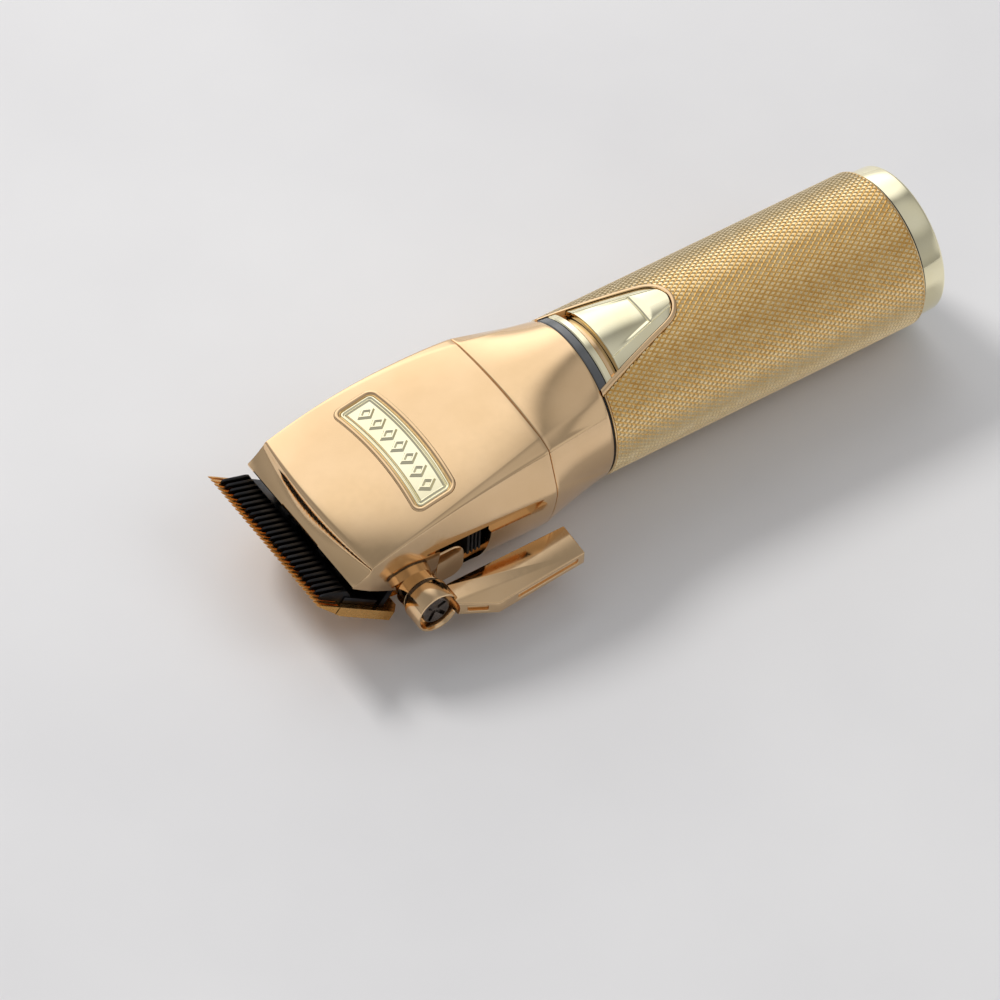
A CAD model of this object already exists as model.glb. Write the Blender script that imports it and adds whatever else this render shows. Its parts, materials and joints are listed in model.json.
import json
import math

import bmesh
import bpy
from mathutils import Matrix, Vector
from mathutils.bvhtree import BVHTree


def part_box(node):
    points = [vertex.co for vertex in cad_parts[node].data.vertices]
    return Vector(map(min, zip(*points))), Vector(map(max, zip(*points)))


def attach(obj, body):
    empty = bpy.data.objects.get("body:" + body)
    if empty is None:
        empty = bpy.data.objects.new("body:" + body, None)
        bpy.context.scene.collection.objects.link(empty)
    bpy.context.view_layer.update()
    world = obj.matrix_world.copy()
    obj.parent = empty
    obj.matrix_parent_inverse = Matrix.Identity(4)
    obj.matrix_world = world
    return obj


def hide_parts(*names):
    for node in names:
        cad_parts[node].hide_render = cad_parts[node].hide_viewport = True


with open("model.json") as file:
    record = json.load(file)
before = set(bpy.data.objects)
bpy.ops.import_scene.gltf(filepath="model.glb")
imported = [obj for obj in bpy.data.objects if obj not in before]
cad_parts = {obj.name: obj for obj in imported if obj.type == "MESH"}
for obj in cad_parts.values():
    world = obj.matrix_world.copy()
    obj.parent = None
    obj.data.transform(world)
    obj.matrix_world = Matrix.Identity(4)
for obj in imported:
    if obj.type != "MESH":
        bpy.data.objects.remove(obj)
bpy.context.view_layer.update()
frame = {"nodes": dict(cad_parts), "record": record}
mm = 0.001

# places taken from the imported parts
gripLow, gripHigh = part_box("grip_sleeve")
ringLow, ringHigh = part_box("end_ring")
collarLow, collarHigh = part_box("rear_housing")
headLow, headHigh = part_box("front_housing")
bladeLow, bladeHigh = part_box("fixed_blade")
washerLow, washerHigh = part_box("lever_washer")
blockLow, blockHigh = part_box("detent_block")

gripR = gripHigh[2] / mm
ringR = ringHigh[2] / mm
xGrip = collarHigh[0] / mm
xSeam = headHigh[0] / mm
xLip = headLow[0] / mm
xRing = ringLow[0] / mm
lipLen = 5.5
xFace = xLip + lipLen
faceLen = xSeam - xFace
headHalf = (headHigh[1] - headLow[1]) / 2 / mm
faceHalf = 21.6
bladeHalf = (bladeHigh[1] - bladeLow[1]) / 2 / mm
tipX = bladeLow[0] / mm
tipZ = 2.7
bladeTilt = math.radians(37)
pivotX = (washerLow[0] + washerHigh[0]) / 2 / mm
pivotZ = (washerLow[2] + washerHigh[2]) / 2 / mm
floorZ = -gripR


def mix(a, b, t):
    return a + (b - a) * t


def clamp(x, low=0.0, high=1.0):
    return max(low, min(high, x))


def smooth(x):
    x = clamp(x)
    return x * x * (3 - 2 * x)


def bend(a, c, b, t):
    return tuple((1 - t) ** 2 * a[i] + 2 * t * (1 - t) * c[i] + t * t * b[i] for i in range(2))


def inPlane(u, v, w):
    # blade plane: u from the tooth tips to the heel, v across, w up towards the cutter
    return (tipX + u * math.cos(bladeTilt) + w * math.sin(bladeTilt), v,
            tipZ - u * math.sin(bladeTilt) + w * math.cos(bladeTilt))


# mesh helpers, sizes in millimetres
def makeMesh(name, verts, faces):
    mesh = bpy.data.meshes.new(name)
    mesh.from_pydata([Vector(v) * mm for v in verts], [], faces)
    mesh.validate()
    piece = bpy.data.objects.new(name, mesh)
    bpy.context.scene.collection.objects.link(piece)
    bm = bmesh.new()
    bm.from_mesh(mesh)
    bmesh.ops.remove_doubles(bm, verts=bm.verts, dist=1e-7)
    bmesh.ops.recalc_face_normals(bm, faces=bm.faces)
    bm.to_mesh(mesh)
    bm.free()
    return piece


def loft(name, rings, closed=True):
    n = len(rings[0])
    verts = [p for ring in rings for p in ring]
    faces = []
    for s in range(len(rings) - 1):
        for i in range(n):
            j = (i + 1) % n
            faces.append((s * n + i, s * n + j, (s + 1) * n + j, (s + 1) * n + i))
    if closed:
        faces.append(tuple(range(n - 1, -1, -1)))
        faces.append(tuple((len(rings) - 1) * n + i for i in range(n)))
    return makeMesh(name, verts, faces)


def prism(name, outline, low, high, place=None):
    # outline in two directions, extruded along the third; place turns (a, b, c) into x, y, z
    place = place or (lambda a, b, c: (a, b, c))
    n = len(outline)
    verts = [place(a, b, low) for a, b in outline] + [place(a, b, high) for a, b in outline]
    faces = [tuple(range(n - 1, -1, -1)), tuple(range(n, 2 * n))]
    faces += [(i, (i + 1) % n, n + (i + 1) % n, n + i) for i in range(n)]
    return makeMesh(name, verts, faces)


def boxPiece(name, low, high, place=None):
    outline = [(low[0], low[1]), (high[0], low[1]), (high[0], high[1]), (low[0], high[1])]
    return prism(name, outline, low[2], high[2], place)


def lathe(name, profile, steps, place):
    # profile is a closed outline of (along, radius); place turns (along, a, b) into x, y, z
    rings = []
    for s in range(steps):
        a = 2 * math.pi * s / steps
        rings.append([place(p[0], p[1] * math.cos(a), p[1] * math.sin(a)) for p in profile])
    n = len(profile)
    verts = [p for ring in rings for p in ring]
    faces = []
    for s in range(steps):
        t = (s + 1) % steps
        for i in range(n):
            j = (i + 1) % n
            if profile[i][1] > 1e-6 or profile[j][1] > 1e-6:
                faces.append((s * n + i, s * n + j, t * n + j, t * n + i))
    return makeMesh(name, verts, faces)


def merged(piece, *others):
    # closed shells that reach into each other, kept as one piece
    bm = bmesh.new()
    bm.from_mesh(piece.data)
    for other in others:
        bm.from_mesh(other.data)
        bpy.data.objects.remove(other)
    bm.to_mesh(piece.data)
    bm.free()
    return piece


def applyAll(piece):
    graph = bpy.context.evaluated_depsgraph_get()
    mesh = bpy.data.meshes.new_from_object(piece.evaluated_get(graph))
    piece.modifiers.clear()
    old = piece.data
    piece.data = mesh
    bpy.data.meshes.remove(old)
    return piece


def cutWith(piece, *cutters, join=False):
    for cutter in cutters:
        mod = piece.modifiers.new("cut", "BOOLEAN")
        mod.operation = "UNION" if join else "DIFFERENCE"
        mod.solver = "EXACT"
        mod.object = cutter
        applyAll(piece)
        bpy.data.objects.remove(cutter)
    return piece


def bevelled(piece, width, segments=2, angle=30):
    mod = piece.modifiers.new("bevel", "BEVEL")
    mod.width = width * mm
    mod.segments = segments
    mod.limit_method = "ANGLE"
    mod.angle_limit = math.radians(angle)
    mod.harden_normals = False
    return applyAll(piece)


def smoothed(piece, angle=35):
    piece.data.polygons.foreach_set("use_smooth", [True] * len(piece.data.polygons))
    piece.data.set_sharp_from_angle(angle=math.radians(angle))
    return piece


def copyNormals(piece, source, near=0.02):
    # faces that still lie on the uncut surface keep its own smooth normals
    src = source.data
    src.calc_loop_triangles()
    verts = [v.co.copy() for v in src.vertices]
    tris = [tuple(t.vertices) for t in src.loop_triangles]
    tree = BVHTree.FromPolygons(verts, tris)
    corner = [n.vector.copy() for n in src.corner_normals]
    loops = [tuple(t.loops) for t in src.loop_triangles]

    def normalAt(co):
        hit, _, index, distance = tree.find_nearest(co)
        if index is None:
            return None, 1.0
        a, b, c = (verts[i] for i in tris[index])
        area = (b - a).cross(c - a)
        size = area.length_squared or 1e-30
        wa = (b - hit).cross(c - hit).dot(area) / size
        wb = (c - hit).cross(a - hit).dot(area) / size
        la, lb, lc = loops[index]
        return (corner[la] * wa + corner[lb] * wb + corner[lc] * (1 - wa - wb)).normalized(), distance

    mesh = piece.data
    normals = [n.vector.copy() for n in mesh.corner_normals]
    for poly in mesh.polygons:
        n, distance = normalAt(poly.center)
        if n is None or distance > near * mm or n.dot(poly.normal) < 0.9:
            continue
        for li in poly.loop_indices:
            co = mesh.vertices[mesh.loops[li].vertex_index].co
            inner = co.lerp(poly.center, 0.02)
            found, _ = normalAt(inner)
            normals[li] = found
    mesh.normals_split_custom_set(normals)
    return piece


def keep(piece, body, material, slot, *nodes):
    piece.data.materials.clear()
    piece.data.materials.append(material)
    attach(piece, body)
    if nodes:
        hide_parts(*nodes)
    return piece


# materials
def newMaterial(name):
    mat = bpy.data.materials.new(name)
    mat.use_nodes = True
    tree = mat.node_tree
    return mat, tree, tree.nodes["Principled BSDF"]


def noiseNode(tree, scale, detail=3.0, stretch=(1, 1, 1)):
    coord = tree.nodes.new("ShaderNodeTexCoord")
    mapping = tree.nodes.new("ShaderNodeMapping")
    mapping.inputs["Scale"].default_value = stretch
    noise = tree.nodes.new("ShaderNodeTexNoise")
    noise.inputs["Scale"].default_value = scale
    noise.inputs["Detail"].default_value = detail
    tree.links.new(coord.outputs["Object"], mapping.inputs["Vector"])
    tree.links.new(mapping.outputs["Vector"], noise.inputs["Vector"])
    return noise


def rampTo(tree, source, low, high, socket, start=0.35, end=0.65):
    ramp = tree.nodes.new("ShaderNodeMapRange")
    ramp.inputs["From Min"].default_value = start
    ramp.inputs["From Max"].default_value = end
    ramp.inputs["To Min"].default_value = low
    ramp.inputs["To Max"].default_value = high
    tree.links.new(source, ramp.inputs["Value"])
    tree.links.new(ramp.outputs["Result"], socket)


def colourTo(tree, source, low, high, socket, start=0.3, end=0.7):
    ramp = tree.nodes.new("ShaderNodeValToRGB")
    ramp.color_ramp.elements[0].position = start
    ramp.color_ramp.elements[1].position = end
    ramp.color_ramp.elements[0].color = (*low, 1)
    ramp.color_ramp.elements[1].color = (*high, 1)
    tree.links.new(source, ramp.inputs["Fac"])
    tree.links.new(ramp.outputs["Color"], socket)


def bumpTo(tree, bsdf, source, strength, depth):
    bump = tree.nodes.new("ShaderNodeBump")
    bump.inputs["Strength"].default_value = strength
    bump.inputs["Distance"].default_value = depth
    tree.links.new(source, bump.inputs["Height"])
    tree.links.new(bump.outputs["Normal"], bsdf.inputs["Normal"])


def metalFinish(name, low, high, rough, scale=220, stretch=(1, 1, 1), bump=0.0, depth=2e-6):
    mat, tree, bsdf = newMaterial(name)
    bsdf.inputs["Metallic"].default_value = 1.0
    cloud = noiseNode(tree, scale, 4, stretch)
    colourTo(tree, cloud.outputs["Fac"], low, high, bsdf.inputs["Base Color"])
    fine = noiseNode(tree, scale * 7, 5, stretch)
    rampTo(tree, fine.outputs["Fac"], rough[0], rough[1], bsdf.inputs["Roughness"])
    if bump:
        bumpTo(tree, bsdf, fine.outputs["Fac"], bump, depth)
    return mat


def plainFinish(name, low, high, rough, scale=400, bump=0.15, depth=2e-5, coat=0.0):
    mat, tree, bsdf = newMaterial(name)
    cloud = noiseNode(tree, scale, 4)
    colourTo(tree, cloud.outputs["Fac"], low, high, bsdf.inputs["Base Color"])
    fine = noiseNode(tree, scale * 5, 3)
    rampTo(tree, fine.outputs["Fac"], rough[0], rough[1], bsdf.inputs["Roughness"])
    bumpTo(tree, bsdf, fine.outputs["Fac"], bump, depth)
    bsdf.inputs["Coat Weight"].default_value = coat
    return mat


def woundWire(name, low, high):
    mat, tree, bsdf = newMaterial(name)
    bsdf.inputs["Metallic"].default_value = 1.0
    bsdf.inputs["Roughness"].default_value = 0.32
    coord = tree.nodes.new("ShaderNodeTexCoord")
    wave = tree.nodes.new("ShaderNodeTexWave")
    wave.bands_direction = "X"
    wave.inputs["Scale"].default_value = 420
    wave.inputs["Distortion"].default_value = 0.6
    tree.links.new(coord.outputs["Object"], wave.inputs["Vector"])
    colourTo(tree, wave.outputs["Fac"], low, high, bsdf.inputs["Base Color"])
    bumpTo(tree, bsdf, wave.outputs["Fac"], 0.5, 1e-4)
    return mat


def makeMaterials():
    made = {
        "rose_gold": metalFinish("roseGold", (0.80, 0.555, 0.315), (0.85, 0.60, 0.355), (0.08, 0.14),
                                 90, bump=0.03),
        "pale_gold": metalFinish("paleGold", (0.94, 0.86, 0.58), (0.97, 0.91, 0.66), (0.05, 0.10), 120),
        "knurled_gold": metalFinish("knurledGold", (0.90, 0.68, 0.36), (0.98, 0.79, 0.48), (0.20, 0.28),
                                    500, bump=0.1),
        "bronze_gold": metalFinish("bladeBronze", (0.72, 0.36, 0.09), (0.84, 0.47, 0.15),
                                   (0.18, 0.34), 260, (0.4, 4, 0.4), bump=0.25),
        "black_steel": metalFinish("cutterBlack", (0.018, 0.018, 0.02), (0.04, 0.04, 0.043),
                                   (0.30, 0.45), 400, (0.5, 3, 0.5), bump=0.2),
        "dark_steel": metalFinish("darkScrew", (0.10, 0.08, 0.07), (0.18, 0.15, 0.13), (0.2, 0.35), 400),
        "steel": metalFinish("satinSteel", (0.55, 0.55, 0.56), (0.66, 0.66, 0.67), (0.22, 0.38), 500,
                             (1, 3, 1), bump=0.15),
        "brass": metalFinish("turnedBrass", (0.66, 0.46, 0.18), (0.76, 0.56, 0.26), (0.2, 0.32), 300),
        "copper": woundWire("copperWinding", (0.32, 0.12, 0.05), (0.78, 0.38, 0.18)),
        "magnet_grey": metalFinish("groundMagnet", (0.14, 0.14, 0.15), (0.22, 0.22, 0.24), (0.3, 0.45),
                                   300, (4, 1, 1), bump=0.2),
        "dark_plastic": plainFinish("darkPlastic", (0.018, 0.018, 0.02), (0.03, 0.03, 0.033), (0.4, 0.55)),
        "black_plastic": plainFinish("blackPlastic", (0.008, 0.008, 0.009), (0.016, 0.016, 0.017),
                                     (0.35, 0.5)),
        "black_rubber": plainFinish("blackRubber", (0.010, 0.010, 0.010), (0.02, 0.02, 0.02), (0.6, 0.8)),
        "smoked_lens": plainFinish("smokedLens", (0.055, 0.06, 0.065), (0.10, 0.105, 0.11), (0.08, 0.16),
                                   120, 0.02, coat=0.6),
        "lamp_white": plainFinish("lampWhite", (0.75, 0.78, 0.8), (0.85, 0.87, 0.88), (0.2, 0.3)),
        "board_green": plainFinish("boardGreen", (0.005, 0.05, 0.02), (0.01, 0.09, 0.035), (0.25, 0.4), 900),
        "cell_wrap": plainFinish("cellWrap", (0.02, 0.11, 0.28), (0.03, 0.14, 0.34), (0.22, 0.3), 150),
        "lead_red": plainFinish("leadRed", (0.30, 0.01, 0.01), (0.38, 0.02, 0.015), (0.4, 0.5)),
    }
    print("materials made:", len(made))
    return made


finish = makeMaterials()

# camera, floor, light
view = {
    "place": (-0.684725, -0.781383, 1.099619),
    "right": (0.827362, -0.560734, 0.032400),
    "up": (0.407562, 0.639049, 0.652311),
    "back": (-0.386478, -0.526492, 0.757259),
    "lens": 233.43,
}


def makeCamera():
    data = bpy.data.cameras.new("studioCamera")
    data.lens = view["lens"]
    data.sensor_width = 36
    data.clip_start = 0.01
    data.clip_end = 20
    camera = bpy.data.objects.new("studioCamera", data)
    bpy.context.scene.collection.objects.link(camera)
    turn = Matrix([view["right"], view["up"], view["back"]]).transposed().to_4x4()
    camera.matrix_world = Matrix.Translation(view["place"]) @ turn
    bpy.context.scene.camera = camera


def makeFloor():
    half = 3000
    tile = makeMesh("floorTile", [(-half, -half, floorZ - 0.02), (half, -half, floorZ - 0.02),
                                  (half, half, floorZ - 0.02), (-half, half, floorZ - 0.02)], [(0, 1, 2, 3)])
    mat, tree, bsdf = newMaterial("paleFloor")
    cloud = noiseNode(tree, 7, 6)
    colourTo(tree, cloud.outputs["Fac"], (0.70, 0.695, 0.71), (0.78, 0.775, 0.785),
             bsdf.inputs["Base Color"])
    bsdf.inputs["Roughness"].default_value = 0.55
    tile.data.materials.append(mat)


lamps = {
    "keyLight": {"at": (-0.45, 1.25, 1.15), "size": 0.42, "power": 17, "tint": (1.0, 0.985, 0.96)},
    "fillLight": {"at": (0.7, -0.9, 1.3), "size": 1.0, "power": 4, "tint": (0.96, 0.98, 1.0)},
}
skyBoxes = {
    "main": {"towards": (0.15, 0.75, 0.65), "full": 20, "gone": 37, "power": 0.85},
    "front": {"towards": (0.22, -0.27, 0.94), "full": 8, "gone": 36, "power": 0.25},
    "side": {"towards": (0.72, -0.66, 0.22), "full": 8, "gone": 22, "power": 0.22},
    "far": {"towards": (0.1, 0.97, 0.12), "full": 18, "gone": 45, "power": 0.5},
}
skyTones = [(0.0, 0.30), (0.49, 0.30), (0.53, 0.34), (0.60, 0.40), (0.70, 0.38), (0.86, 0.32), (1.0, 0.28)]


def makeLights():
    for name, lamp in lamps.items():
        data = bpy.data.lights.new(name, "AREA")
        data.shape = "DISK"
        data.size = lamp["size"]
        data.energy = lamp["power"]
        data.color = lamp["tint"]
        light = bpy.data.objects.new(name, data)
        light.location = lamp["at"]
        light.visible_glossy = False
        aim = Vector((-0.1, 0, 0)) - Vector(lamp["at"])
        light.rotation_euler = aim.to_track_quat("-Z", "Y").to_euler()
        bpy.context.scene.collection.objects.link(light)


def makeSky():
    # soft panels over an even sky that darkens towards the horizon
    world = bpy.data.worlds.new("studioWorld")
    world.use_nodes = True
    tree = world.node_tree
    coord = tree.nodes.new("ShaderNodeTexCoord")
    split = tree.nodes.new("ShaderNodeSeparateXYZ")
    tree.links.new(coord.outputs["Generated"], split.inputs["Vector"])
    lift = tree.nodes.new("ShaderNodeMapRange")
    lift.inputs["From Min"].default_value = -1
    lift.inputs["From Max"].default_value = 1
    tree.links.new(split.outputs["Z"], lift.inputs["Value"])
    ramp = tree.nodes.new("ShaderNodeValToRGB")
    tree.links.new(lift.outputs["Result"], ramp.inputs["Fac"])
    elements = ramp.color_ramp.elements
    elements[0].position, elements[1].position = skyTones[0][0], skyTones[-1][0]
    elements[0].color = (*[skyTones[0][1]] * 3, 1)
    elements[1].color = (*[skyTones[-1][1]] * 3, 1)
    for place, grey in skyTones[1:-1]:
        elements.new(place).color = (grey, grey, grey, 1)
    total = ramp.outputs["Color"]
    for panelLight in skyBoxes.values():
        dot = tree.nodes.new("ShaderNodeVectorMath")
        dot.operation = "DOT_PRODUCT"
        dot.inputs[1].default_value = Vector(panelLight["towards"]).normalized()
        tree.links.new(coord.outputs["Generated"], dot.inputs[0])
        fade = tree.nodes.new("ShaderNodeMapRange")
        fade.interpolation_type = "SMOOTHSTEP"
        fade.inputs["From Min"].default_value = math.cos(math.radians(panelLight["gone"]))
        fade.inputs["From Max"].default_value = math.cos(math.radians(panelLight["full"]))
        fade.inputs["To Max"].default_value = panelLight["power"]
        tree.links.new(dot.outputs["Value"], fade.inputs["Value"])
        add = tree.nodes.new("ShaderNodeMixRGB")
        add.blend_type = "ADD"
        add.inputs["Fac"].default_value = 1.0
        tree.links.new(total, add.inputs["Color1"])
        tree.links.new(fade.outputs["Result"], add.inputs["Color2"])
        total = add.outputs["Color"]
    tree.links.new(total, tree.nodes["Background"].inputs["Color"])
    bpy.context.scene.world = world
    bpy.context.scene.view_settings.view_transform = "Standard"


makeCamera()
makeFloor()
makeLights()
makeSky()
print("camera, floor and light placed")

# head outline
headShape = {
    "topMid": (6.9, gripR * 0.80), "topEdge": (5.7, gripR * 0.738),
    "edgeHalf": (faceHalf, headHalf * 0.694), "crease": (1.5, 3.3),
    "creaseHalf": (faceHalf + 0.6, headHalf), "footHalf": gripR * 0.66,
    "swellY": 1.4, "swellZ": 1.8, "slope": (3.2, -1.1),
    "edgeRound": 0.6, "slopeRound": 0.8, "creaseRound": 1.6, "footRound": 3.5,
    "bow": 1.7, "valleyBow": 2.3, "valleyZ": 4.6, "lipZ": 1.4, "wall": 1.8,
}


def headT(x):
    return max(0.0, (x - xFace) / faceLen)


def swell(t):
    return 4 * t * (1 - t)


def topEdge(t):
    s = headShape
    return (mix(*s["edgeHalf"], t) + s["swellY"] * swell(t), mix(*s["topEdge"], t) + s["swellZ"] * swell(t))


def topZ(x, y):
    t = headT(x)
    mid = mix(*headShape["topMid"], t) + headShape["swellZ"] * swell(t)
    half, edge = topEdge(t)
    return mid - (mid - edge) * (y / half) ** 2


def trimmed(line, start, end):
    # cuts the given lengths off both ends of a polyline
    def cutHead(points, length):
        if length <= 0:
            return points
        gone = 0.0
        for i in range(len(points) - 1):
            step = math.dist(points[i], points[i + 1])
            if gone + step > length:
                k = (length - gone) / step
                first = tuple(mix(points[i][j], points[i + 1][j], k) for j in range(2))
                return [first] + points[i + 1:]
            gone += step
        return points[-1:]
    line = cutHead(line, start)
    return cutHead(line[::-1], end)[::-1]


def headCurves(t):
    s = headShape
    mid = mix(*s["topMid"], t) + s["swellZ"] * swell(t)
    edge = topEdge(t)
    share = 0.12 + 0.88 * t * t
    corner = (edge[0] + share * s["slope"][0], edge[1] + share * s["slope"][1])
    crease = (mix(*s["creaseHalf"], t), mix(*s["crease"], t))
    foot = (s["footHalf"], -gripR)
    crown = [(edge[0] * k / 24, mix(mid, edge[1], (k / 24) ** 2)) for k in range(25)]
    slope = [tuple(mix(edge[j], corner[j], k / 4) for j in range(2)) for k in range(5)]
    bulge = (mix(corner[0], crease[0], 0.4), mix(corner[1], crease[1], 0.36))
    upper = [bend(corner, bulge, crease, k / 20) for k in range(21)]
    lower = [bend(crease, (crease[0] - 0.9, -gripR * 0.62), foot, k / 20) for k in range(21)]
    sole = [(foot[0] * (1 - k / 6), -gripR) for k in range(7)]
    return [crown, slope, upper, lower, sole]


def evenly(line, count):
    # the same number of points for every section, spread by length within the line
    lengths = [0.0]
    for a, b in zip(line, line[1:]):
        lengths.append(lengths[-1] + math.dist(a, b))
    out, k = [], 0
    for i in range(count):
        want = lengths[-1] * i / (count - 1)
        while k < len(lengths) - 2 and lengths[k + 1] < want:
            k += 1
        span = lengths[k + 1] - lengths[k] or 1e-9
        f = (want - lengths[k]) / span
        out.append(tuple(mix(line[k][j], line[k + 1][j], f) for j in range(2)))
    return out


def halfSection(curves, radii, counts=(22, 5, 6, 5, 20, 6, 22, 8, 6)):
    # sections share their point count, so that lofts between them line up
    lines = []
    for i, curve in enumerate(curves):
        before = radii[i - 1] if i else 0
        after = radii[i] if i < len(radii) else 0
        lines.append(trimmed(curve, before, after))
    points = []
    for i, line in enumerate(lines):
        if i:
            corner, a, b = curves[i][0], points[-1], line[0]
            n = counts[2 * i - 1]
            points += [bend(a, corner, b, k / (n + 1)) for k in range(1, n + 1)]
        points += evenly(line, counts[2 * i])
    return points


def inwards(p, distance):
    d = math.hypot(p[0], p[1] + 2) or 1
    return (p[0] * (1 - distance / d), -2 + (p[1] + 2) * (1 - distance / d))


def wholeRing(half, x, shift=lambda y: 0.0):
    ring = [(x + shift(p[0]), p[0], p[1]) for p in half]
    ring += [(x + shift(p[0]), -p[0], p[1]) for p in half[-2:0:-1]]
    return ring


def headSection(t):
    s = headShape
    strip = math.hypot(*s["slope"]) * (0.12 + 0.88 * t * t) * 0.45
    return halfSection(headCurves(t), (min(s["edgeRound"], strip), min(s["slopeRound"], strip),
                                       s["creaseRound"], s["footRound"]))


def headRing(x, level=None, share=1.0, bow=0.0, narrow=1.0):
    # level and share press the section down on to the lip; bow curves its front in plan
    half = [(p[0] * narrow, p[1]) for p in headSection(headT(x))]
    if level is not None:
        half = [(y, z if z < level else level + (z - level) * share) for y, z in half]
    return wholeRing(half, x, lambda y: -bow * max(0.0, 1 - (y / faceHalf) ** 2))


def headRings():
    s = headShape
    rings = []
    for k in range(7):  # lip, from its lower front edge back to the valley
        f = k / 6
        x = mix(xLip, xFace - 0.9, f)
        sag = 0.35 * math.sin(math.pi * f)  # the lip is slightly hollow
        rings.append(headRing(x, mix(s["lipZ"], s["valleyZ"], f) - sag, 0.0,
                              s["valleyBow"] * f, mix(0.97, 1.0, f)))
    for k in range(1, 9):  # riser behind the valley, rolling over into the top face
        a = math.pi / 2 * k / 8
        rings.append(headRing(xFace - 0.9 + 1.1 * (1 - math.cos(a)), s["valleyZ"], math.sin(a),
                              mix(s["valleyBow"], s["bow"], k / 8)))
    steps = 44
    for k in range(1, steps + 1):
        x = mix(xFace + 0.2, xSeam - 0.4, k / steps)
        rings.append(headRing(x, bow=s["bow"] * (1 - smooth((x - xFace) / 14))))
    for x, inset in ((xSeam - 0.14, 0.06), (xSeam - 0.05, 0.2), (xSeam - 0.03, 0.45)):
        rings.append([(x, *inwards((y, z), inset)) for _, y, z in headRing(xSeam)])
    return rings


def cavityRings():
    w = headShape["wall"]
    xs = [xFace + w] + [xFace + faceLen * i / 10 for i in range(1, 10)] + [xSeam + 1]
    return [wholeRing([inwards(p, w) for p in headSection(headT(x))], x) for x in xs]


underCut = {"edgeW": 4.7, "heelU": 30.9, "soleW": -2.0}
window = {"front": pivotX + 5.6, "back": xLip + 36, "floor": -13.0, "top": 1.7}
track = {"front": -147.0, "back": xSeam - 3.5, "slant": 3.2, "low": -0.9, "top": (1.7, 2.7), "deep": 1.5}


def sideY(x):
    return -mix(*headShape["creaseHalf"], headT(x))


def sidePlace(a, b, c):
    return (a, c, b)


def makeFrontShell():
    shell = smoothed(loft("frontShell", headRings()), 50)
    source = shell.copy()
    source.data = shell.data.copy()
    cutters = [loft("cavity", cavityRings())]
    cutters.append(boxPiece("mouth", (xLip + 1.8, -faceHalf + 4, -gripR), (xFace + 2.8, faceHalf - 4, 1.9)))
    u = underCut
    outline = [(-60, u["edgeW"]), (u["heelU"], u["edgeW"]), (u["heelU"], u["soleW"]),
               (120, u["soleW"]), (120, -60), (-60, -60)]
    cutters.append(prism("bladeCut", outline, -60, 60, lambda a, b, c: inPlane(a, c, b)))
    w = window
    cutters.append(prism("windowCut", [(w["front"], w["floor"]), (w["back"], w["floor"]),
                                       (w["back"], w["top"] + 0.4), (w["front"], w["top"] + 0.1)],
                         -headHalf - 5, -headHalf + 7, sidePlace))
    t = track
    yFront, yBack = sideY(t["front"]) + t["deep"], sideY(t["back"]) + t["deep"]

    def trackPlace(a, b, c):
        k = (a - t["front"]) / (t["back"] - t["front"])
        return (a, mix(yFront, yBack, k) if c > 0 else -headHalf - 5, b)

    cutters.append(prism("trackCut", [(t["front"], t["top"][0] - 0.5), (w["back"] - 1, t["low"]),
                                      (t["back"] - t["slant"], t["low"] + 0.3), (t["back"], t["top"][1]),
                                      (t["front"], t["top"][0])], 0, 1, trackPlace))
    cutters.append(badgeCutter())
    cutters.append(lathe("bushHole", [(-40, 0), (-40, 4.25), (0, 4.25), (0, 0)], 48,
                         lambda a, p, q: (pivotX + p, a, pivotZ + q)))
    cutWith(shell, *cutters)
    smoothed(shell, 28)
    copyNormals(shell, source)
    bpy.data.objects.remove(source)
    keep(shell, "casing", finish["rose_gold"], "rose_gold", "front_housing")
    print("front shell:", len(shell.data.polygons), "faces")


badge = {"x": xFace + 19.3, "length": 11.4, "width": 35.4, "corner": 2.6, "rim": 1.15, "deep": 1.0,
         "proud": 0.3, "bow": -1.4, "borderInset": 1.35, "lozenges": 7}


def badgeOutline(grow, steps=10):
    b = badge
    hx, hy, r = b["length"] / 2 + grow, b["width"] / 2 + grow, b["corner"] + grow
    points = []
    for cx, cy, a0 in ((hx - r, hy - r, 0), (-hx + r, hy - r, 90), (-hx + r, -hy + r, 180),
                       (hx - r, -hy + r, 270)):
        for k in range(steps + 1):
            a = math.radians(a0 + 90 * k / steps)
            points.append((cx + r * math.cos(a), cy + r * math.sin(a)))
    dense = []
    for i, p in enumerate(points):
        q = points[(i + 1) % len(points)]
        parts = max(1, int(math.dist(p, q) / 1.2))
        dense += [tuple(mix(p[j], q[j], m / parts) for j in range(2)) for m in range(parts)]
    return dense


def onFace(a, y, h):
    # a runs along the clipper from the badge's middle, h stands off the top face
    b = badge
    x = b["x"] + a - b["bow"] * (1 - (y / (b["width"] / 2)) ** 2)
    return (x, y, topZ(x, y) + h)


def badgeCutter():
    outline = badgeOutline(0.06)
    verts = [onFace(a, y, -badge["deep"]) for a, y in outline]
    verts += [onFace(a, y, 4) for a, y in outline]
    n = len(outline)
    cutter = makeMesh("badgeCut", verts, [tuple(range(n - 1, -1, -1)), tuple(range(n, 2 * n))] +
                      [(i, (i + 1) % n, n + (i + 1) % n, n + i) for i in range(n)])
    return cutter


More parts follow.
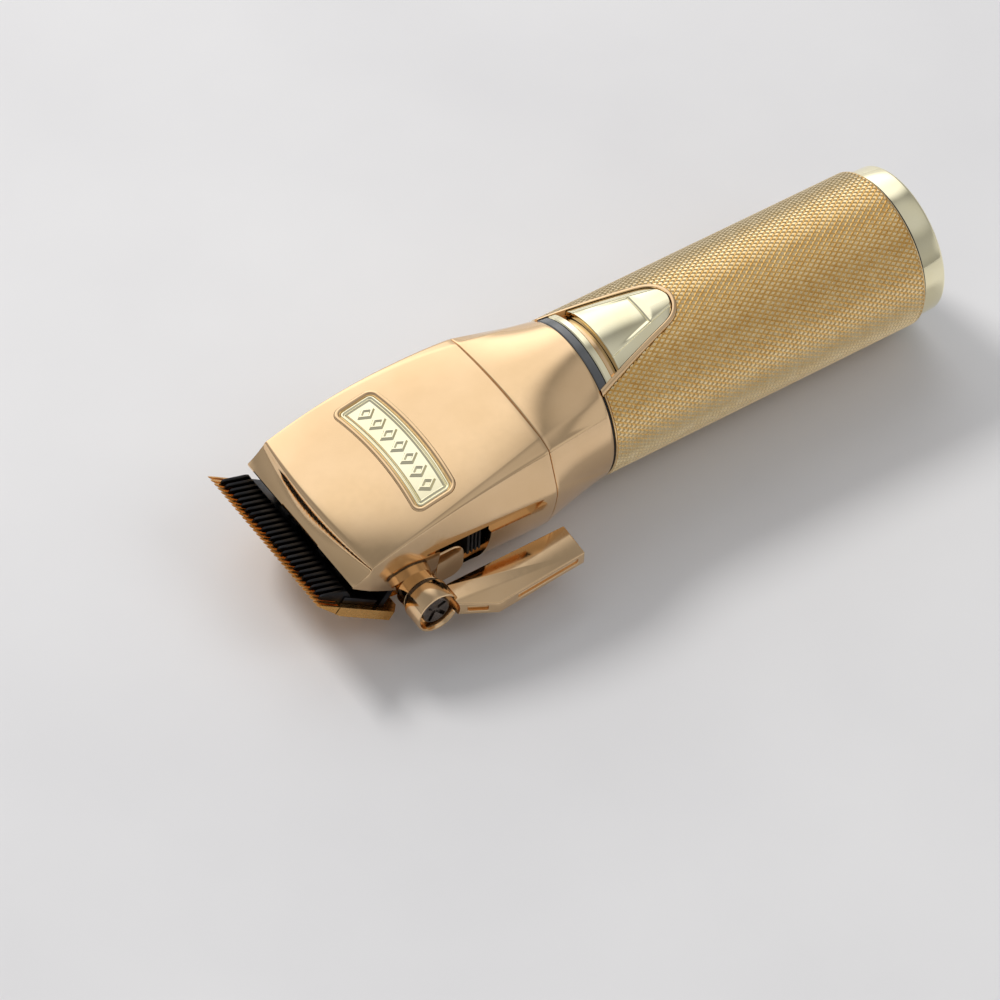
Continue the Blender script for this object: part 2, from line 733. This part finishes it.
def makeBadge():
    b = badge
    outer, inner = badgeOutline(0), badgeOutline(-b["rim"])
    n = len(outer)
    profile = [(0, -b["deep"]), (0, 0.02), (0.1, b["proud"] * 0.75), (0.3, b["proud"]), (0.62, b["proud"]),
               (0.82, b["proud"] * 0.5), (1, -0.25), (1, -b["deep"])]
    rings = []
    for i in range(n):
        if math.dist(inner[i], outer[i]) == 0:
            continue
        rings.append([onFace(mix(outer[i][0], inner[i][0], f), mix(outer[i][1], inner[i][1], f), h)
                      for f, h in profile])
    m = len(profile)
    verts = [p for ring in rings for p in ring]
    count = len(rings)
    faces = [(s * m + i, s * m + (i + 1) % m, (s + 1) % count * m + (i + 1) % m, (s + 1) % count * m + i)
             for s in range(count) for i in range(m)]
    rim = smoothed(makeMesh("badgeRim", verts, faces), 40)
    keep(rim, "casing", finish["rose_gold"], "rose_gold", "badge_frame")

    hx, hy = b["length"] / 2 - b["rim"], b["width"] / 2 - b["rim"]
    corner = b["corner"] - b["rim"]

    def edgeDistance(a, y):
        qx, qy = abs(a) - (hx - corner), abs(y) - (hy - corner)
        return corner - math.hypot(max(qx, 0), max(qy, 0)) - min(max(qx, qy), 0)

    def relief(a, y):
        d = edgeDistance(a, y)
        h = 0.34 * smooth(1 - abs(d - b["borderInset"]) / 0.26)
        h += 0.30 * smooth((d - 0.1) / 0.3) * smooth((0.95 - d) / 0.25)
        pitch = 4.1
        k = round(y / pitch)
        if abs(k) <= b["lozenges"] // 2:
            local = abs(y - k * pitch) / 1.75 + abs(a) / 2.35
            h += 0.5 * smooth((1.0 - local) / 0.16) - 0.36 * smooth((0.55 - local) / 0.14)
        return h

    nx, ny = 90, 260
    verts, faces = [], []
    for j in range(ny + 1):
        y = mix(-hy, hy, j / ny)
        out = max(0.0, abs(y) - (hy - corner))
        half = hx - corner + math.sqrt(max(corner * corner - out * out, 0.0))
        for i in range(nx + 1):
            a = mix(-half, half, i / nx)
            verts.append(onFace(a, y, -0.42 + relief(a, y)))
    top = len(verts)
    for j in range(ny):
        for i in range(nx):
            p = j * (nx + 1) + i
            faces.append((p, p + 1, p + nx + 2, p + nx + 1))
    border = [i for i in range(nx + 1)] + [j * (nx + 1) + nx for j in range(1, ny + 1)]
    border += [ny * (nx + 1) + i for i in range(nx - 1, -1, -1)]
    border += [j * (nx + 1) for j in range(ny - 1, 0, -1)]
    for p in border:
        x, y, z = verts[p]
        verts.append((x, y, topZ(x, y) - b["deep"]))
    m = len(border)
    faces += [(border[i], top + i, top + (i + 1) % m, border[(i + 1) % m]) for i in range(m)]
    faces.append(tuple(top + i for i in range(m)))
    plate = smoothed(makeMesh("badgePlate", verts, faces), 60)
    keep(plate, "casing", finish["pale_gold"], "pale_gold", "badge_plate")
    print("badge made")


collarShape = {"panelEdge": 43, "slopeAt": 58, "creaseAt": 110, "footAt": 146, "seamStep": 0.12}


def makeRearShell():
    c = collarShape

    def arc(a0, a1, steps, r):
        return [(r * math.sin(math.radians(mix(a0, a1, k / steps))),
                 r * math.cos(math.radians(mix(a0, a1, k / steps)))) for k in range(steps + 1)]

    def ringHalf(r):
        curves = [arc(0, c["panelEdge"], 24, r), arc(c["panelEdge"], c["slopeAt"], 6, r),
                  arc(c["slopeAt"], c["creaseAt"], 20, r), arc(c["creaseAt"], c["footAt"], 20, r),
                  arc(c["footAt"], 180, 6, r)]
        return halfSection(curves, (0.4, 0.4, 0.4, 0.4))

    def collarRing(x, inset):
        k = (x - xSeam) / (xGrip - xSeam)
        half = [tuple(mix(a[j], b[j], k) for j in range(2)) for a, b in zip(headSection(1), ringHalf(gripR))]
        return wholeRing([inwards(p, inset) for p in half], x)

    seam = c["seamStep"]
    xs = [(xSeam + 0.03, seam + 0.33), (xSeam + 0.05, seam + 0.08), (xSeam + 0.14, 0.06), (xSeam + 0.4, 0.0)]
    xs += [(mix(xSeam + 0.4, xGrip - 0.25, k / 24), 0.0) for k in range(1, 25)]
    xs += [(xGrip - 0.08, 0.08), (xGrip, 0.25)]
    shell = smoothed(loft("rearShell", [collarRing(x, inset) for x, inset in xs]), 50)
    source = shell.copy()
    source.data = shell.data.copy()
    cavity = loft("collarCavity", [collarRing(mix(xSeam - 1, xGrip + 1, k / 6), 1.8) for k in range(7)])
    screwProfile = [(-25, 0), (-25, 2.9), (-18.4, 2.9), (-18.4, 1.6), (-14, 1.6), (-14, 0)]
    screwHole = lathe("screwHole", screwProfile, 32,
                      lambda a, p, q: (xGrip - 3.2 + p, q, a))
    cutWith(shell, cavity, screwHole)
    smoothed(shell, 28)
    copyNormals(shell, source)
    bpy.data.objects.remove(source)
    keep(shell, "casing", finish["rose_gold"], "rose_gold", "rear_housing")
    print("rear shell made")


# knurled grip
panel = {"length": 28.08, "half": 13.65, "tail": 7.02, "rim": 1.1, "proud": 0.39, "floor": 17.5}
knurl = {"along": 2.155, "around": 90, "deep": 0.4, "flat": 0.52, "band": 0.5}


def panelHalf(x, grow=0.0):
    # half width of the tapered switch panel at a place on the grip
    p = panel
    a = x - xGrip
    joint = p["length"] - p["tail"]
    slope = (p["half"] - p["tail"] * 0.96) / (joint + p["tail"] * 0.3)
    if a > p["length"] + grow:
        return 0.0
    straight = p["half"] - slope * a + grow
    if a <= joint + p["tail"] * 0.25:
        return straight
    return min(straight, math.sqrt(max((p["tail"] + grow) ** 2 - (a - joint) ** 2, 0.0)))


def panelOutline(inset, start=0.0, steps=24, tailSteps=24):
    # one side from the front to the tail's end, then back along the other side
    p = panel
    joint = p["length"] - p["tail"]
    side = [(xGrip + mix(start, joint + p["tail"] * 0.28, k / steps),) for k in range(steps + 1)]
    side = [(x, panelHalf(x, -inset)) for (x,) in side]
    r = p["tail"] - inset
    a0 = math.atan2(side[-1][1], side[-1][0] - xGrip - joint)
    tail = [(xGrip + joint + r * math.cos(mix(a0, 0, k / tailSteps)), r * math.sin(mix(a0, 0, k / tailSteps)))
            for k in range(1, tailSteps + 1)]
    half = side + tail
    return half + [(x, -y) for x, y in half[-2::-1]]


def onGrip(x, y, r):
    return (x, y, math.sqrt(max(r * r - y * y, 0.0)))


def makeGrip():
    k = knurl
    x0, x1 = gripLow[0] / mm, gripHigh[0] / mm
    count = round((x1 - x0 - 2 * k["band"]) / k["along"])
    pitch = (x1 - x0 - 2 * k["band"]) / count
    around = k["around"]
    verts, faces, index = [], [], {}

    def vert(key, x, a, r):
        if key not in index:
            index[key] = len(verts)
            verts.append((x, r * math.sin(a), r * math.cos(a)))
        return index[key]

    low = gripR - k["deep"]
    f = k["flat"]

    def groove(i, j):
        # crossing of two grooves; i counts half pitches along, j half steps round
        return vert(("g", i, j % (2 * around)), x0 + k["band"] + i * pitch / 2, math.pi * j / around, low)

    for i in range(2 * count + 1):
        for j in range(2 * around):
            if (i + j) % 2 == 0:
                continue
            x, a = x0 + k["band"] + i * pitch / 2, math.pi * j / around
            step = math.pi / around
            corners = []
            for di, dj in ((1, 0), (0, 1), (-1, 0), (0, -1)):
                if 0 <= i + di <= 2 * count:
                    corners.append((groove(i + di, j + dj),
                                    vert(("t", i, j, di, dj), x + di * f * pitch / 2,
                                         a + dj * f * step, gripR)))
                else:
                    corners.append((vert(("e", i, j), x, a, low),) * 2)
            if i in (0, 2 * count):
                tops = [c[1] for c in corners if c[0] != c[1]]
                ends = [c[0] for c in corners if c[0] != c[1]]
                middle = vert(("e", i, j), x, a, gripR - 0.02)
                order = [0, 1, 2] if i == 0 else [1, 2, 0]
                seq = [(ends[q], tops[q]) for q in order]
                if i == 0:  # corner order: +x, +a, -a
                    ring = [seq[1], seq[0], seq[2]]
                else:       # corner order: +a, -x, -a
                    ring = [(ends[0], tops[0]), (ends[1], tops[1]), (ends[2], tops[2])]
                faces.append((ring[0][1], ring[1][1], ring[2][1], middle))
                faces.append((ring[0][0], ring[1][0], ring[1][1], ring[0][1]))
                faces.append((ring[1][0], ring[2][0], ring[2][1], ring[1][1]))
                faces.append((ring[0][0], ring[0][1], middle))
                faces.append((ring[2][0], middle, ring[2][1]))
                continue
            faces.append(tuple(c[1] for c in corners))
            for q in range(4):
                a0, a1 = corners[q], corners[(q + 1) % 4]
                faces.append((a0[0], a1[0], a1[1], a0[1]))
    skin = makeMesh("knurlSkin", verts, faces)
    bm = bmesh.new()
    bm.from_mesh(skin.data)
    rims = [e for e in bm.edges if e.is_boundary]
    left = [e for e in rims if e.verts[0].co.x < (x0 + x1) / 2 * mm]
    right = [e for e in rims if e.verts[0].co.x >= (x0 + x1) / 2 * mm]

    def extend(edges, stations):
        # carries the open rim on over the plain band, down and inside
        for x, r in stations:
            out = bmesh.ops.extrude_edge_only(bm, edges=edges)
            fresh = [g for g in out["geom"] if isinstance(g, bmesh.types.BMVert)]
            for v in fresh:
                scale = r * mm / math.hypot(v.co.y, v.co.z)
                v.co = Vector((x * mm, v.co.y * scale, v.co.z * scale))
            edges = [g for g in out["geom"] if isinstance(g, bmesh.types.BMEdge)]
        return edges

    wallIn = gripR - 1.3
    a = extend(left, [(x0 + 0.25, gripR - 0.02), (x0 + 0.08, gripR - 0.06), (x0, gripR - 0.2), (x0, wallIn)])
    b = extend(right, [(x1 - 0.25, gripR - 0.02), (x1 - 0.08, gripR - 0.06), (x1, gripR - 0.2), (x1, wallIn)])
    bmesh.ops.bridge_loops(bm, edges=a + b)
    bmesh.ops.recalc_face_normals(bm, faces=bm.faces)
    bm.to_mesh(skin.data)
    bm.free()
    skin.name = "knurledGrip"
    outline = panelOutline(-0.1, start=-2)
    cutWith(skin, prism("panelCut", outline, 4, 30))
    keep(skin, "casing", finish["knurled_gold"], "knurled_gold", "grip_sleeve")
    print("grip made:", len(skin.data.polygons), "faces")


def makeEndRing():
    r, bore = ringR, ringR - 3
    profile = [(xRing, bore), (xRing, r - 0.35), (xRing + 0.1, r - 0.1), (xRing + 0.35, r)]
    profile += [(-0.9 + 0.9 * math.sin(math.radians(a)), r - 0.9 + 0.9 * math.cos(math.radians(a)))
                for a in range(0, 91, 10)]
    profile += [(0, bore + 0.35), (-0.12, bore + 0.1), (-0.35, bore)]
    ring = lathe("endRing", profile, 160, lambda a, p, q: (a, p, q))
    smoothed(ring, 40)
    keep(ring, "casing", finish["pale_gold"], "pale_gold", "end_ring")

    capR, jackR = bore - 0.05, 4.25
    profile = [(-3, jackR), (-0.5, jackR), (-0.25, jackR + 0.1), (-0.15, jackR + 0.35), (-0.15, jackR + 1.2),
               (-0.75, jackR + 1.6), (-0.75, capR - 2.2), (-0.15, capR - 1.8), (-0.15, capR - 0.3),
               (-0.4, capR), (-3, capR)]
    cap = lathe("endCap", profile, 128, lambda a, p, q: (a, p, q))
    smoothed(cap, 40)
    keep(cap, "casing", finish["dark_plastic"], "dark_plastic", "end_cap")
    print("end ring and cap made")


# switch panel
def makeBezel():
    p = panel
    lensLen, barLen = 2.2, 1.9
    outer = panelOutline(0.0, start=0.12)
    inner = panelOutline(p["rim"], start=0.12)
    top = gripR + p["proud"]
    profile = [(0, p["floor"]), (0, top - 0.28), (0.1, top - 0.08), (0.28, top), (0.7, top),
               (0.92, top - 0.12), (1, top - 0.35), (1, p["floor"])]
    rings = []
    for o, i in zip(outer, inner):
        rings.append([onGrip(mix(o[0], i[0], f), mix(o[1], i[1], f), r) for f, r in profile])
    bezel = smoothed(loft("switchBezel", rings), 40)
    keep(bezel, "casing", finish["rose_gold"], "rose_gold", "switch_bezel")

    def plate(name, x0, x1, inset, floorR, topR, edge, material, slot, *nodes, wide=28):
        rings = []
        for x, drop in ((x0, edge), (x0 + edge, 0), (x1 - edge, 0), (x1, edge)):
            half = panelHalf(x, -inset)
            ys = [half * math.sin(math.pi / 2 * (2 * k / wide - 1)) for k in range(wide + 1)]
            ring = [onGrip(x, y, topR - drop) for y in ys] + [onGrip(x, y, floorR) for y in ys[::-1]]
            rings.append(ring)
        made = smoothed(loft(name, rings), 35)
        return keep(made, "casing", finish[material], slot, *nodes)

    x0 = xGrip
    plate("statusLens", x0 + 0.05, x0 + lensLen - 0.05, p["rim"] + 0.05, p["floor"] + 0.7, gripR + 0.05, 0.2,
          "smoked_lens", "smoked_lens", "status_lens")
    plate("panelBar", x0 + lensLen + 0.1, x0 + lensLen + barLen, 0.9, p["floor"], gripR + 0.12, 0.25,
          "pale_gold", "pale_gold")
    plate("panelFloor", x0 + lensLen + barLen - 0.2, x0 + p["length"] - 1.2, 0.9, p["floor"] - 0.1,
          p["floor"] + 0.55, 0.1, "rose_gold", "rose_gold")
    print("bezel, lens and bar made")


slider = {"start": 6.45, "step": 19.1, "inset": 1.3, "dish": 0.3, "dishEnd": 15.0, "stepDown": 0.26}


def makeSlider():
    s, p = slider, panel
    x0, x1 = xGrip + s["start"], xGrip + p["length"] - s["inset"] - 0.05
    stepX = xGrip + s["step"]

    def facetHalf(x):
        # half width of the raised facet between the two side bevels
        k = (x - x0) / (x1 - x0)
        return min(mix(7.9, 2.6, k), max(panelHalf(x, -s["inset"]) - 0.35, 0.02))

    def height(x, y):
        half = panelHalf(x, -s["inset"])
        facet = facetHalf(x)
        base = math.sqrt(gripR ** 2 - y * y) + 0.12
        side = clamp((abs(y) - facet) / max(half - facet, 0.05))
        h = base + 0.32 - 0.42 * side
        h -= 0.22 * smooth(1 - abs(abs(y) - facet) / 0.28)          # groove beside the facet
        if abs(y) < facet:
            h -= s["stepDown"] * smooth(1 - abs(x - stepX) / 0.35)  # groove across, by the tail
        reach = s["dishEnd"] - 1.5 * (y / facet) ** 2                 # thumb dish, ending in an arc
        away = (x - x0) / reach
        if away < 1 and abs(y) < facet:
            h -= s["dish"] * smooth(away * 1.4) * smooth((1 - away) / 0.14) * smooth((facet - abs(y)) / 0.9)
        return h - 0.12

    xs = [x0, x0 + 0.05, x0 + 0.15, x0 + 0.3]
    xs += [mix(x0 + 0.3, stepX - 0.05, k / 60) for k in range(1, 61)]
    xs += [stepX + 0.03]
    xs += [mix(stepX + 0.03, x1, math.sin(math.pi / 2 * k / 40)) for k in range(1, 41)]
    rings = []
    for i, x in enumerate(xs):
        half = max(panelHalf(x, -s["inset"]), 0.03)
        facet = facetHalf(x)
        lip = min(0.3, (half - facet) * 0.8, facet * 0.8)
        marks = [-half, -facet - lip, -facet + lip, facet - lip, facet + lip, half]
        ys = [mix(a, b, k / c) for a, b, c in zip(marks, marks[1:], (8, 10, 40, 10, 8)) for k in range(c)]
        ys.append(half)
        drop = (0.3, 0.12, 0.03, 0.0)[i] if i < 4 else 0.0
        low = panel["floor"] + 0.7
        rings.append([(x, y, min(height(x, y) - drop, gripR + 0.295)) for y in ys] +
                     [onGrip(x, y, low) for y in ys[::-1]])
    thumb = smoothed(loft("thumbSlider", rings), 32)
    stem = boxPiece("stem", (xGrip + s["start"] + 6.4, -2.5, 14.4), (xGrip + s["start"] + 10.4, 2.5, 18))
    cutWith(thumb, stem, join=True)
    smoothed(thumb, 32)
    keep(thumb, "power_slider", finish["pale_gold"], "pale_gold", "switch_slider")
    print("thumb slider made")


# blades
blades = {"thick": 2.4, "teeth": 31, "gap": 0.48, "gapDeep": 8.0, "bevel": 9.7, "length": 29.0,
          "cutterTeeth": 25, "cutterHalf": 20.8, "tip": 2.4, "ridge": 9.6,
          "cutterEnd": 20.5, "cutterThick": 1.6, "lift": 0.05, "screwU": 24.8, "screwV": 5.5}


def makeFixedBlade():
    b = blades
    pitch = 2 * bladeHalf / b["teeth"]
    t = b["thick"]
    plate = boxPiece("fixedBlade", (b["gapDeep"] - 0.3, -bladeHalf, -t), (b["length"], bladeHalf, 0), inPlane)

    def toothPlace(a, w, v):
        return inPlane(a, v, w)

    half = pitch * (1 - b["gap"]) / 2
    verts, faces = [], []
    for i in range(b["teeth"] + 1):
        mid = i * pitch - bladeHalf
        v0, v1 = max(mid - half, -bladeHalf), min(mid + half, bladeHalf)
        if i in (0, b["teeth"]):
            v0, v1 = (v0, v1 + 0.12) if i == 0 else (v0 - 0.12, v1)
        n = len(verts)
        c = (v0 + v1) / 2
        near = 0.55
        for u, w, k in ((0.05, -0.03, near), (0.16, -0.16, near), (1.5, 0, 1), (1.5, -0.5, 1),
                        (b["gapDeep"], 0, 1), (b["gapDeep"], -t * b["gapDeep"] / b["bevel"], 1)):
            verts.append(inPlane(u, mix(c, v0, k), w))
            verts.append(inPlane(u, mix(c, v1, k), w))
        faces += [tuple(n + q for q in f) for f in (
            (0, 1, 3, 2), (0, 4, 5, 1), (2, 3, 7, 6), (4, 8, 9, 5), (6, 7, 11, 10),
            (0, 2, 6, 4), (1, 5, 7, 3), (4, 6, 10, 8), (5, 9, 11, 7), (8, 10, 11, 9))]
    teeth = makeMesh("teeth", verts, faces)
    slots = []
    for s in (-1, 1):
        for k in (-1.8, 0.2):
            slots.append(lathe("slot", [(-5, 0), (-5, 1.65), (5, 1.65), (5, 0)], 32,
                               lambda a, p, q, k=k, s=s: inPlane(b["screwU"] + k + p,
                                                                 s * b["screwV"] + q, a)))
        slots.append(boxPiece("slotMid", (b["screwU"] - 1.8, s * b["screwV"] - 1.65, -5),
                              (b["screwU"] + 0.2, s * b["screwV"] + 1.65, 5), inPlane))
        corner = [(b["length"] - 2.8, s * (bladeHalf + 0.01)), (b["length"] + 0.01, s * (bladeHalf - 2.8)),
                  (b["length"] + 1, s * (bladeHalf + 1))]
        slots.append(prism("heelCorner", corner, -5, 5, inPlane))
    bevelCut = prism("underBevel", [(-1, 0), (0, -0.36), (b["bevel"], -t - 0.01), (b["bevel"], -9), (-1, -9)],
                     -bladeHalf - 5, bladeHalf + 5, toothPlace)
    cutWith(plate, *slots, bevelCut)
    bevelled(plate, 0.12, 2, 40)
    merged(plate, teeth)
    smoothed(plate, 30)
    keep(plate, "fixed_blade", finish["bronze_gold"], "bronze_gold", "fixed_blade")
    print("fixed blade made")


def makeCutter():
    b = blades
    lift = b["lift"]
    h = b["cutterHalf"]
    plate = boxPiece("cutterBlade", (b["ridge"], -h, lift),
                     (b["cutterEnd"], h, lift + b["cutterThick"]), inPlane)
    bevelled(plate, 0.15, 2, 40)
    pitch = 2 * h / b["cutterTeeth"]
    half = pitch * 0.28
    verts, faces = [], []
    for i in range(b["cutterTeeth"]):
        mid = (i + 0.5) * pitch - h
        n = len(verts)
        rows = [(b["tip"], 0.0, 0.75, 0.5), (b["tip"] + 0.6, 0.0, 1.15, 0.85),
                (b["ridge"] - 0.9, 0.0, 2.9, 1.0), (b["ridge"], 0.0, 3.0, 1.0),
                (b["ridge"] + 1.4, 0.0, 2.2, 1.0), (b["ridge"] + 2.2, 0.0, 1.5, 1.0)]
        for u, low, high, wide in rows:
            side = half * wide
            chamfer = min(0.16, side * 0.4)
            for v, w in ((-side, low), (-side, high - chamfer), (-side + chamfer, high),
                         (side - chamfer, high), (side, high - chamfer), (side, low)):
                verts.append(inPlane(u, mid + v, w + lift))
        for r in range(len(rows) - 1):
            for q in range(6):
                a, c = n + r * 6 + q, n + r * 6 + (q + 1) % 6
                faces.append((a, c, c + 6, a + 6))
        faces.append(tuple(n + q for q in range(5, -1, -1)))
        last = n + (len(rows) - 1) * 6
        faces.append(tuple(last + q for q in range(6)))
    merged(plate, makeMesh("ridges", verts, faces))
    smoothed(plate, 30)
    keep(plate, "cutter", finish["black_steel"], "black_steel", "cutter_blade")
    print("cutter made")


# taper lever
lever = {"length": 36.7, "thick": 4.4, "hubR": 5.5, "hubIn": -25.5, "hubOut": -31.0, "inner": -26.5,
         "tipOut": -35.0, "bendOut": -36.8, "lift": 0.3, "lean": 1.1}


def aroundPivot(a, p, q):
    return (pivotX + p, a, pivotZ + q)


def makeLever():
    s = lever
    low, high = pivotZ + s["lift"] - s["thick"] / 2, pivotZ + s["lift"] + s["thick"] / 2
    tipLx = pivotX + s["length"]
    bendLx = pivotX + s["length"] * 0.338
    neckLx = pivotX + s["hubR"] * 0.75
    outline = [(pivotX + 1, s["inner"]), (tipLx, s["inner"]), (tipLx, s["tipOut"]), (bendLx, s["bendOut"]),
               (neckLx, s["hubOut"] - 1.2), (pivotX + s["hubR"] * 0.7, s["hubOut"] + 0.3),
               (pivotX + 1, s["hubOut"] + 0.3)]
    arm = prism("leverArm", outline, low, high)
    for v in arm.data.vertices:
        if v.co.z > (low + high) / 2 * mm:
            v.co.z -= s["lean"] * mm * clamp((s["inner"] * mm - v.co.y) / ((s["inner"] - s["bendOut"]) * mm))
    # long groove in the outer side face, and a short slot in the slanted stretch by the hub
    face = Vector((tipLx - bendLx, s["tipOut"] - s["bendOut"])).normalized()
    mid = low + s["thick"] * 0.42

    def groove(name, x0, y0, direction, a0, a1, h0, h1, deep):
        normal = Vector((direction.y, -direction.x))

        def place(a, b, c):
            q = Vector((x0, y0)) + direction * a + normal * c
            return (q.x, q.y, b)
        return prism(name, [(a0, h0), (a1, h0), (a1, h1), (a0, h1)], -deep, 2, place)

    slant = Vector((bendLx - neckLx, s["bendOut"] - s["hubOut"] + 1.2)).normalized()
    cutWith(arm, groove("longGroove", bendLx, s["bendOut"], face, 5.5, 22.6, mid - 0.8, mid + 0.6, 0.9),
            groove("shortSlot", neckLx, s["hubOut"] - 1.2, slant, 2.4, 7.0, mid - 0.9, mid + 0.7, 1.2))
    bevelled(arm, 0.28, 3, 35)
    r = s["hubR"]
    profile = [(s["hubIn"], 3.0), (s["hubIn"], r - 0.3), (s["hubIn"] - 0.3, r), (s["hubOut"] + 0.35, r),
               (s["hubOut"] + 0.1, r - 0.1), (s["hubOut"], r - 0.32), (s["hubOut"] + 0.05, r - 0.55),
               (s["hubOut"] + 0.3, r - 0.72), (s["hubOut"] + 2.3, r - 1.0), (s["hubOut"] + 2.3, 3.0)]
    hub = lathe("hub", profile, 96, aroundPivot)
    hole = lathe("hubRoom", [(s["hubIn"] + 1, 0), (s["hubIn"] + 1, r - 0.8), (s["hubOut"] - 3, r - 0.8),
                             (s["hubOut"] - 3, 0)], 64, aroundPivot)
    cutWith(arm, hole)
    cutWith(arm, hub, join=True)
    smoothed(arm, 32)
    keep(arm, "taper_lever", finish["rose_gold"], "rose_gold", "lever_arm")

    seat = s["hubOut"] + 2.3
    profile = [(seat, 0), (seat - 0.9, 0), (seat - 1.05, 1.0), (seat - 1.35, 2.2), (seat - 1.5, 2.9),
               (seat - 1.45, 3.3), (seat - 1.2, 3.55), (seat, 3.6)]
    screw = lathe("leverScrew", profile[::-1], 64, aroundPivot)
    cross = boxPiece("slotCut", (-3.0, -0.5, seat - 3), (3.0, 0.5, seat - 0.75),
                     lambda a, b, c: (pivotX + (a - b) * 0.7071, c, pivotZ + (a + b) * 0.7071))
    cross2 = boxPiece("slotCut2", (-0.5, -3.0, seat - 3), (0.5, 3.0, seat - 0.75),
                      lambda a, b, c: (pivotX + (a - b) * 0.7071, c, pivotZ + (a + b) * 0.7071))
    cutWith(screw, cross, cross2)
    smoothed(screw, 32)
    keep(screw, "taper_lever", finish["dark_steel"], "dark_steel", "lever_screw")
    print("taper lever made")


def makeBushing():
    r = 4.9
    profile = [(-24.55, 3.06), (-24.55, r - 0.25), (-24.35, r), (-21.6, r), (-21.4, r - 0.2), (-21.4, 4.1),
               (-18.3, 4.1), (-18.3, 3.06)]
    bush = lathe("leverBushing", profile, 72, aroundPivot)
    smoothed(bush, 32)
    keep(bush, "casing", finish["rose_gold"], "rose_gold", "lever_bushing")


def makeBlock():
    low, high = blockLow[2] / mm, blockHigh[2] / mm
    x0, x1 = blockLow[0] / mm, blockHigh[0] / mm
    r = 3.6
    outline = [(x0, low)]
    outline += [(x1 - r + r * math.sin(math.radians(a)), low + r - r * math.cos(math.radians(a)))
                for a in range(0, 91, 10)]
    outline += [(x1 - r + r * math.cos(math.radians(a)), high - r + r * math.sin(math.radians(a)))
                for a in range(0, 91, 10)]
    outline += [(x0, high)]
    block = prism("detentBlock", outline, -21.5, -18.6, sidePlace)
    bevelled(block, 0.45, 3, 35)
    smoothed(block, 40)
    keep(block, "casing", finish["rose_gold"], "rose_gold", "detent_block")
    print("bushing and block made")


makeFrontShell()
makeBadge()
makeRearShell()
makeGrip()
makeEndRing()
makeBezel()
makeSlider()
makeFixedBlade()
makeCutter()
makeLever()
makeBushing()
makeBlock()


def dressCadNodes():
    slots = {part["node"]: part["material_slot"] for part in frame["record"]["subparts"]}
    for name, node in frame["nodes"].items():
        node.data.materials.clear()
        node.data.materials.append(finish[slots[name]])
    print("parts kept from the CAD dressed:", len(frame["nodes"]))


dressCadNodes()
bpy.context.view_layer.update()
